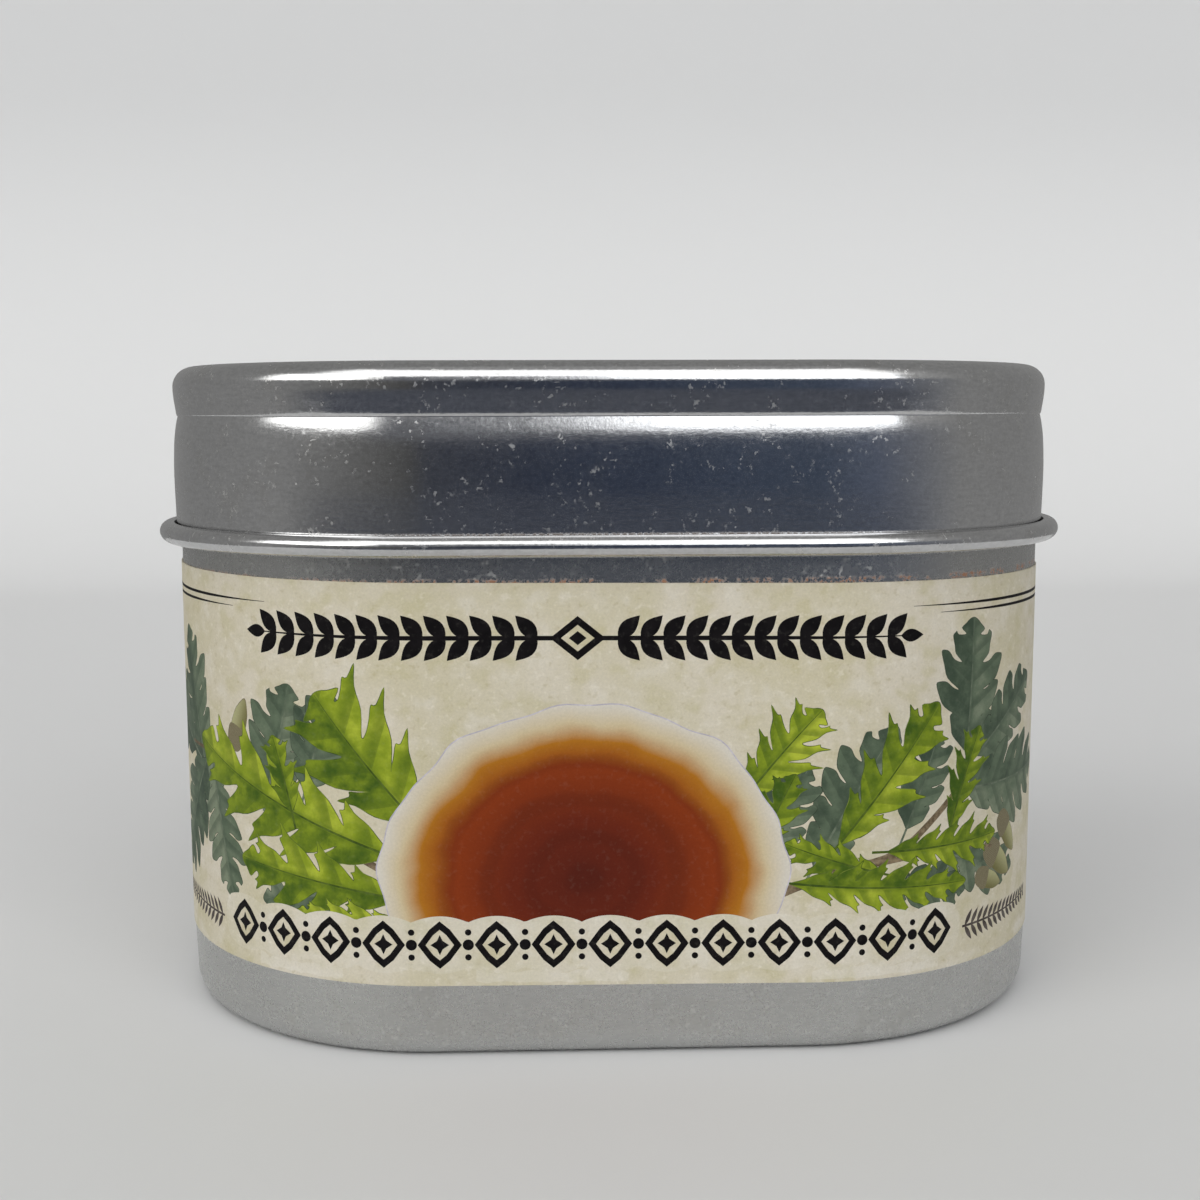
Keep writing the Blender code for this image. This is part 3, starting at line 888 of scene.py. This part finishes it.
# ---- cut the strip along every printed edge ---------------------------------
def build_label():
    pts, edges = [], []

    def add(poly, closed=True):
        base = len(pts)
        pts.extend(Vector((float(a), float(b))) for a, b in poly)
        n = len(poly)
        for i in range(n if closed else n - 1):
            edges.append((base + i, base + (i + 1) % n))

    nb = 240
    xs = np.linspace(-S_END, S_END, nb)
    edge = np.vstack([np.stack([xs, L_BOT + SLOPE * xs], 1),
                      np.stack([xs[::-1], (L_TOP + SLOPE * xs)[::-1]], 1)])
    add(edge)
    lim = []
    for r in regions:
        q = r.poly
        q[:, 0] = np.clip(q[:, 0], -S_END + 0.4, S_END - 0.4)
        q[:, 1] = np.clip(q[:, 1], L_BOT + 0.15 + SLOPE * q[:, 0], L_TOP - 0.15 + SLOPE * q[:, 0])
        keep = np.linalg.norm(q - np.roll(q, 1, 0), axis=1) > 1e-3
        r.poly = q[keep]
        if len(r.poly) > 2:
            add(r.poly)
            lim.append(r)
    gx = np.arange(-S_END + 0.9, S_END - 0.5, 1.1)
    for k, x in enumerate(gx):
        for z in np.linspace(L_BOT + 1.6, L_TOP - 1.6, 13 if abs(x) < 66 else 6):
            pts.append(Vector((float(x), float(z + SLOPE * x + (0.7 if k % 2 else -0.7)))))
    out = delaunay_2d_cdt(pts, edges, [], 0, 1e-5)
    v2 = np.array([tuple(v) for v in out[0]])
    tri = []
    for f in out[2]:
        f = list(f)
        for k in range(1, len(f) - 1):
            tri.append((f[0], f[k], f[k + 1]))
    tri = np.array(tri)
    a, b, c = v2[tri[:, 0]], v2[tri[:, 1]], v2[tri[:, 2]]
    area = 0.5 * ((b[:, 0] - a[:, 0]) * (c[:, 1] - a[:, 1]) - (c[:, 0] - a[:, 0]) * (b[:, 1] - a[:, 1]))
    tri[area < 0] = tri[area < 0][:, ::-1]
    cen = (a + b + c) / 3
    owner = np.full(len(tri), -1)
    for ri, r in enumerate(lim):
        q = r.poly
        lo, hi = q.min(0), q.max(0)
        cand = np.where((cen[:, 0] >= lo[0]) & (cen[:, 0] <= hi[0]) &
                        (cen[:, 1] >= lo[1]) & (cen[:, 1] <= hi[1]))[0]
        if not len(cand):
            continue
        px, pz = cen[cand, 0][:, None], cen[cand, 1][:, None]
        x1, z1 = q[:, 0][None], q[:, 1][None]
        x2, z2 = np.roll(q[:, 0], -1)[None], np.roll(q[:, 1], -1)[None]
        cross = (z1 > pz) != (z2 > pz)
        with np.errstate(divide="ignore", invalid="ignore"):
            xi = (x2 - x1) * (pz - z1) / (z2 - z1) + x1
        # winding number, so that an outline that crosses itself stays filled
        wind = (cross & (px < xi)) * np.where(z2 > z1, 1, -1)
        owner[cand[wind.sum(1) != 0]] = ri
    inks = ["paper"] + sorted({r.ink for r in lim} - {"paper"})
    mat_id = np.array([inks.index(lim[o].ink) if o >= 0 else 0 for o in owner])

    # front face, then the back face and the cut edge
    n = len(v2)
    fx, fy, nx, ny = outline(v2[:, 0], END_R - LABEL_OUT)
    bx, by, _, _ = outline(v2[:, 0], END_R - LABEL_IN)
    front = np.stack([fx, fy, v2[:, 1]], 1)
    back = np.stack([bx, by, v2[:, 1]], 1)
    co = np.vstack([front, back]) * MM
    ek = {}
    for t_ in tri:
        for k in range(3):
            e = (int(t_[k]), int(t_[(k + 1) % 3]))
            ek[e] = True
    rim = [e for e in ek if (e[1], e[0]) not in ek]
    faces = [tuple(int(i) for i in t_) for t_ in tri]
    faces += [tuple(int(i) + n for i in t_[::-1]) for t_ in tri]
    faces += [(b_, a_, a_ + n, b_ + n) for a_, b_ in rim]
    mesh = bpy.data.meshes.new("label_paper")
    mesh.from_pydata(co.tolist(), [], faces)
    nf = len(tri)
    ids = np.concatenate([mat_id, np.zeros(nf + len(rim), int)])
    mesh.polygons.foreach_set("material_index", ids.astype(np.int32))
    # print coordinates
    lab = np.zeros((len(mesh.loops), 2))
    ia, ib = lab.copy(), lab.copy()
    flat = np.array([l.vertex_index for l in mesh.loops])
    lab[:] = v2[flat % n] / 100.0
    ia[:] = lab
    corners = tri.reshape(-1)
    own3 = np.repeat(owner, 3)
    pc = v2[corners]
    for ri in np.unique(owner):
        if ri < 0:
            continue
        sel = np.where(own3 == ri)[0]
        ia[sel] = lim[ri].fa(pc[sel])
        ib[sel] = lim[ri].fb(pc[sel])
    for name, data in (("lab", lab), ("ink", ia), ("ink2", ib)):
        layer = mesh.uv_layers.new(name=name)
        layer.data.foreach_set("uv", data.astype(np.float32).ravel())
    # smooth normals of the bent sheet
    nor = np.stack([nx, ny, np.zeros(n)], 1)
    loops = np.zeros((len(mesh.loops), 3))
    loops[:3 * nf] = nor[corners]
    loops[3 * nf:6 * nf] = -nor[flat[3 * nf:6 * nf] - n]
    mesh.shade_smooth()
    pn = np.zeros(len(mesh.polygons) * 3)
    mesh.polygons.foreach_get("normal", pn)
    pn = pn.reshape(-1, 3)
    loops[6 * nf:] = np.repeat(pn[2 * nf:], 4, 0)
    mesh.normals_split_custom_set(loops.tolist())
    obj = bpy.data.objects.new("label_paper", mesh)
    bpy.context.scene.collection.objects.link(obj)
    print("label:", n, "points,", nf, "printed triangles,", len(lim), "shapes")
    return obj, inks


label, inks = build_label()
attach(label, "root")
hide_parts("label")


# ---- inks --------------------------------------------------------------------
def printed(name, colour, wear=0.02, gloss=0.10):
    """Ink on satin paper: colour(net, lab) gives the clean colour; every ink
    shares the sheet's grain, its slight unevenness and its gloss."""
    mat, net, bsdf = material(name)
    lab = net.uv("lab")
    col = colour(net, lab)
    dots = net.noise(lab, 420.0, 2.0, 0.8)
    grain = net.noise(lab, 160.0, 2.0, 0.65)
    tone = net.fmix(dots, 0.84, 1.15)
    col = net.mix(1.0, col, net.vec(tone, tone, tone), "MULTIPLY")
    col = net.mix(net.mul(net.step(grain, 0.52, 0.76), wear), col, srgb(226, 220, 204))
    net.put(bsdf.inputs["Base Color"], col)
    net.put(bsdf.inputs["Roughness"], net.fmix(grain, 0.50, 0.64))
    bsdf.inputs["Specular IOR Level"].default_value = gloss
    net.put(bsdf.inputs["Normal"],
            net.bump(net.add(net.mul(grain, 0.35), net.noise(lab, 28.0, 1.0, 0.5)), 0.000012))
    return mat


def paper_colour(net, lab, lift=0.0):
    big = net.noise(lab, 9.0, 2.0, 0.6)
    mid = net.noise(lab, 34.0, 2.0, 0.62)
    small = net.noise(lab, 110.0, 2.0, 0.7)
    col = net.mix(net.step(big, 0.35, 0.66), srgb(207, 199, 181), srgb(199, 191, 165))
    col = net.mix(net.mul(net.step(mid, 0.50, 0.68), 0.60), col, srgb(190, 182, 147))
    col = net.mix(net.mul(net.step(mid, 0.48, 0.30), 0.50), col, srgb(215, 209, 196))
    col = net.mix(net.mul(net.step(small, 0.56, 0.74), 0.50), col, srgb(180, 169, 136))
    col = net.mix(net.mul(net.step(small, 0.44, 0.28), 0.35), col, srgb(228, 222, 210))
    if lift:
        col = net.mix(lift, col, srgb(226, 223, 216))
    return col


def leaf_colour(net, lab, tones, veins=1.0):
    light, middle, deep, vein, line = tones
    u, v, _ = net.xyz(net.uv("ink"))
    ph, rnd, _ = net.xyz(net.uv("ink2"))
    across = net.mul(v, 10.0)
    side = net.step(across, -0.25, 0.25)
    wash = net.noise(lab, 55.0, 3.0, 0.6)
    wash2 = net.noise(lab, 18.0, 2.0, 0.5)
    f = net.add(net.mul(side, 0.30), net.mul(net.sub(wash, 0.5), 1.1))
    f = net.add(f, net.mul(net.sub(wash2, 0.42), 0.9))
    f = net.add(f, net.mul(net.sub(rnd, 0.4), 0.45))
    f = net.add(f, 0.30)
    col = net.mix(net.step(f, 0.0, 0.55), light, middle)
    col = net.mix(net.step(f, 0.45, 1.05), col, deep)
    phase = net.mul(ph, 10.0)
    fr = net.math("FRACT", net.add(phase, 20.0))
    d = net.math("ABSOLUTE", net.sub(fr, 0.5))
    vline = net.step(d, 0.020, 0.055, 1.0, 0.0)
    shade = net.mul(net.step(fr, 0.50, 0.56), net.step(fr, 0.95, 0.60))
    away = net.step(net.math("ABSOLUTE", across), 0.10, 0.30)
    col = net.mix(net.mul(net.mul(shade, away), 0.45 * veins), col, deep)
    col = net.mix(net.mul(net.mul(vline, away), 0.42 * veins), col, vein)
    near = net.step(net.math("ABSOLUTE", across), 0.12, 0.62, 1.0, 0.0)
    col = net.mix(net.mul(near, 0.35), col, deep)
    return col


BRIGHT = (srgb(178, 188, 62), srgb(130, 148, 36), srgb(60, 86, 24), srgb(66, 88, 28), srgb(60, 84, 26))
DARK = (srgb(126, 136, 114), srgb(94, 108, 88), srgb(60, 74, 60), srgb(62, 74, 60), srgb(42, 50, 42))


def cap_colour(net, lab):
    """A bracket cap in general: even growth bands from a red-brown middle
    through ochre to a cream edge, with faint rings."""
    x, z, _ = net.xyz(net.uv("ink"))
    x = net.mul(x, 100.0)
    z = net.mul(z, 100.0)
    wob = net.mul(net.sub(net.noise(net.uv("ink"), 20.0, 2.0, 0.55), 0.5), 1.0)
    a = net.math("SQRT", net.add(net.math("POWER", net.mul(x, 1 / 18.7), 2.0),
                                 net.math("POWER", net.mul(z, 1 / 16.2), 2.0)))
    a = net.add(a, net.mul(wob, 0.10))
    col = net.ramp(a, [(0.0, srgb(84, 30, 18)), (0.35, srgb(100, 36, 18)),
                       (0.66, srgb(132, 54, 18)), (0.80, srgb(168, 108, 30)),
                       (0.90, srgb(200, 184, 150)), (1.0, srgb(208, 202, 190))])
    rings = net.math("SINE", net.mul(a, 30.0))
    zone = net.step(a, 0.86, 0.76)
    return net.mix(net.mul(net.mul(net.step(rings, -0.2, 1.0), zone), 0.20), col, srgb(62, 22, 14))


def flat_ink(dark, light, scale=70.0):
    def colour(net, lab):
        return net.mix(net.step(net.noise(lab, scale, 3.0, 0.6), 0.35, 0.72), dark, light)
    return colour


def acorn_colour(net, lab):
    x, y, _ = net.xyz(net.uv("ink"))
    side = net.step(y, 0.45, 0.55)
    return net.mix(side, srgb(112, 108, 66), srgb(168, 166, 124))


def cup_colour(net, lab):
    x, y, _ = net.xyz(net.uv("ink"))
    g = net.math("SINE", net.mul(net.add(x, y), 520.0))
    h = net.math("SINE", net.mul(net.sub(x, y), 520.0))
    k = net.step(net.mul(g, h), -0.3, 0.6)
    return net.mix(k, srgb(96, 88, 66), srgb(148, 140, 112))


def rib(tones):
    def colour(net, lab):
        return net.mix(net.step(net.noise(lab, 90.0, 2.0), 0.3, 0.7), tones[3], tones[1])
    return colour


ink_makers = {
    "paper": lambda n, l: paper_colour(n, l),
    "paper_pale": lambda n, l: paper_colour(n, l, 0.26),
    "halo": lambda n, l: paper_colour(n, l, 0.18),
    "leaf": lambda n, l: leaf_colour(n, l, BRIGHT),
    "leaf_edge": flat_ink(srgb(56, 76, 26), srgb(120, 136, 52)),
    "leaf_rib": rib((None, srgb(86, 104, 38), None, srgb(56, 76, 24))),
    "dark": lambda n, l: leaf_colour(n, l, DARK),
    "dark_edge": flat_ink(srgb(52, 62, 50), srgb(80, 90, 74)),
    "dark_rib": rib((None, srgb(112, 122, 104), None, srgb(78, 90, 74))),
    "ink": flat_ink(srgb(9, 7, 9), srgb(20, 17, 19)),
    "sprig": flat_ink(srgb(66, 58, 56), srgb(98, 90, 84)),
    "twig": flat_ink(srgb(92, 78, 60), srgb(146, 130, 104), 120.0),
    "acorn": acorn_colour,
    "acorn_cup": cup_colour,
    "cap": cap_colour,
    "cap_edge": flat_ink(srgb(176, 170, 182), srgb(206, 200, 208)),
}
for ink in inks:
    label.data.materials.append(printed("print_" + ink, ink_makers[ink],
                                        *((0.14, 0.20) if ink in ("paper", "paper_pale", "halo")
                                          else (0.02, 0.10))))

# --------------------------------------------------------------------------
# Stage: pale floor that sweeps up into a wall behind
# --------------------------------------------------------------------------
def flat_mesh(name, verts, faces, smooth=False):
    mesh = bpy.data.meshes.new(name)
    mesh.from_pydata(verts, [], faces)
    if smooth:
        mesh.shade_smooth()
    obj = bpy.data.objects.new(name, mesh)
    bpy.context.scene.collection.objects.link(obj)
    return obj


NEAR_X, NEAR_F, NEAR_B, WIDE, DEEP = 0.20, -0.155, 0.20, 1.6, -1.2
near = flat_mesh("floor_near", [(-NEAR_X, NEAR_F, 0), (NEAR_X, NEAR_F, 0),
                                (NEAR_X, NEAR_B, 0), (-NEAR_X, NEAR_B, 0)], [(0, 1, 2, 3)])
far = flat_mesh("floor_far",
                [(-WIDE, DEEP, 0), (WIDE, DEEP, 0), (WIDE, NEAR_F, 0), (-WIDE, NEAR_F, 0),
                 (-NEAR_X, NEAR_F, 0), (NEAR_X, NEAR_F, 0), (NEAR_X, NEAR_B, 0), (-NEAR_X, NEAR_B, 0),
                 (WIDE, NEAR_B, 0), (-WIDE, NEAR_B, 0)],
                [(0, 1, 2, 5, 4, 3), (2, 8, 6, 5), (3, 4, 7, 9)])
far.visible_glossy = False
sweep_v, sweep_f = [], []
prof = [(NEAR_B, 0.0)] + [(0.34 + 0.20 * math.sin(a), 0.20 - 0.20 * math.cos(a))
                          for a in np.linspace(0, math.pi / 2, 24)] + [(0.54, 1.2)]
for yy, zz in prof:
    sweep_v += [(-WIDE, yy, zz), (WIDE, yy, zz)]
for i in range(len(prof) - 1):
    sweep_f.append((2 * i, 2 * i + 1, 2 * i + 3, 2 * i + 2))
sweep = flat_mesh("backdrop", sweep_v, sweep_f, True)
sweep.visible_glossy = False


def stage_material():
    mat, net, bsdf = material("pale_sheet")
    bsdf.inputs["Base Color"].default_value = (0.69, 0.69, 0.69, 1.0)
    bsdf.inputs["Roughness"].default_value = 0.55
    bsdf.inputs["Specular IOR Level"].default_value = 0.25
    return mat


sheet_mat = stage_material()
for o in (near, far, sweep):
    o.data.materials.append(sheet_mat)

# --------------------------------------------------------------------------
# Studio surroundings, as the metal sees them
# --------------------------------------------------------------------------
world = bpy.data.worlds.new("studio")
bpy.context.scene.world = world
world.use_nodes = True
wn = Net(world.node_tree)
for node in list(wn.n):
    wn.n.remove(node)
direction = wn.new("ShaderNodeTexCoord").outputs["Generated"]
dx, dy, dz = wn.xyz(direction)
az = wn.mul(wn.math("ARCTAN2", dx, wn.mul(dy, -1.0)), 180 / math.pi)
el = wn.mul(wn.math("ARCSINE", dz), 180 / math.pi)


def window(a0, a1, e0, e1, sa=6.0, se=3.0):
    f = wn.mul(wn.step(az, a0 - sa, a0 + sa), wn.step(az, a1 + sa, a1 - sa))
    return wn.mul(f, wn.mul(wn.step(el, e0 - se, e0 + se), wn.step(el, e1 + se, e1 - se)))


around = wn.mul(wn.add(az, 180.0), 1 / 360.0)


def grey(v):
    return (v, v, v * 0.985)


# the studio at eye level: pale grey sides and back, dim and bluish in front
ROOM = [(-180, grey(0.25)), (-70, grey(0.28)), (-10, grey(0.09)), (0, (0.03, 0.04, 0.07)),
        (10, (0.06, 0.08, 0.12)), (35, (0.11, 0.13, 0.18)), (75, grey(0.27)), (180, grey(0.25))]
room = wn.ramp(around, [((a + 180) / 360, c) for a, c in ROOM])
room = wn.mix(wn.mul(wn.step(el, -5.0, -7.5), wn.step(wn.math("ABSOLUTE", az), 70, 40)),
              room, (0.090, 0.098, 0.120))
col = wn.mix(wn.step(el, 10, 22), room, wn.mix(wn.step(wn.math("ABSOLUTE", az), 62, 84), (0.37, 0.37, 0.365), (0.27, 0.27, 0.265)))
gloom = window(-26, 2, 10, 32, 8, 3)
col = wn.mix(gloom, col, (0.15, 0.155, 0.17))
top = window(-60, 52, 33, 66, 9, 3)
col = wn.mix(top, col, (1.85, 1.85, 1.83))
left = window(-74, -30, 17, 40, 10, 3)
col = wn.mix(left, col, (3.8, 3.8, 3.72))
right = window(2.5, 46, 17, 40, 2, 3)
col = wn.mix(right, col, (2.6, 2.65, 2.7))
path = wn.new("ShaderNodeLightPath")
seen = wn.mix(path.outputs["Is Camera Ray"], col, (0.60, 0.61, 0.62))
bg = wn.new("ShaderNodeBackground")
wn.put(bg.inputs["Color"], seen)
bg.inputs["Strength"].default_value = 1.0
wout = wn.new("ShaderNodeOutputWorld")
wn.l.new(bg.outputs[0], wout.inputs[0])


def area(name, loc, target, size, size_y, power, colour=(1, 1, 1)):
    data = bpy.data.lights.new(name, "AREA")
    data.shape = "RECTANGLE"
    data.size, data.size_y = size, size_y
    data.energy = power
    data.color = colour
    obj = bpy.data.objects.new(name, data)
    bpy.context.scene.collection.objects.link(obj)
    obj.location = loc
    obj.rotation_euler = (Vector(target) - Vector(loc)).to_track_quat("-Z", "Y").to_euler()
    obj.visible_glossy = False
    return obj


area("overhead", (0.0, -0.05, 0.75), (0, 0.02, 0), 0.9, 0.8, 0.3)
area("front_fill", (0.05, -0.75, 0.42), (0, 0, 0.04), 0.9, 0.6, 0.2)

# --------------------------------------------------------------------------
# Camera
# --------------------------------------------------------------------------
cam_data = bpy.data.cameras.new("camera")
cam_data.lens = 46.193
cam_data.sensor_width = 36.0
cam_data.clip_start = 0.005
cam_data.clip_end = 20.0
cam = bpy.data.objects.new("camera", cam_data)
bpy.context.scene.collection.objects.link(cam)
turn = Matrix.Rotation(math.radians(-2.0187), 4, "Z")
cam.matrix_world = (turn @ Matrix.Translation((-0.001089, -0.163638, 0.059382))
                    @ Matrix.Rotation(math.radians(90 - 6.9491), 4, "X")
                    @ Matrix.Rotation(math.radians(-0.1754), 4, "Z"))
bpy.context.scene.camera = cam
bpy.context.scene.view_settings.view_transform = "Standard"
bpy.context.scene.view_settings.look = "None"
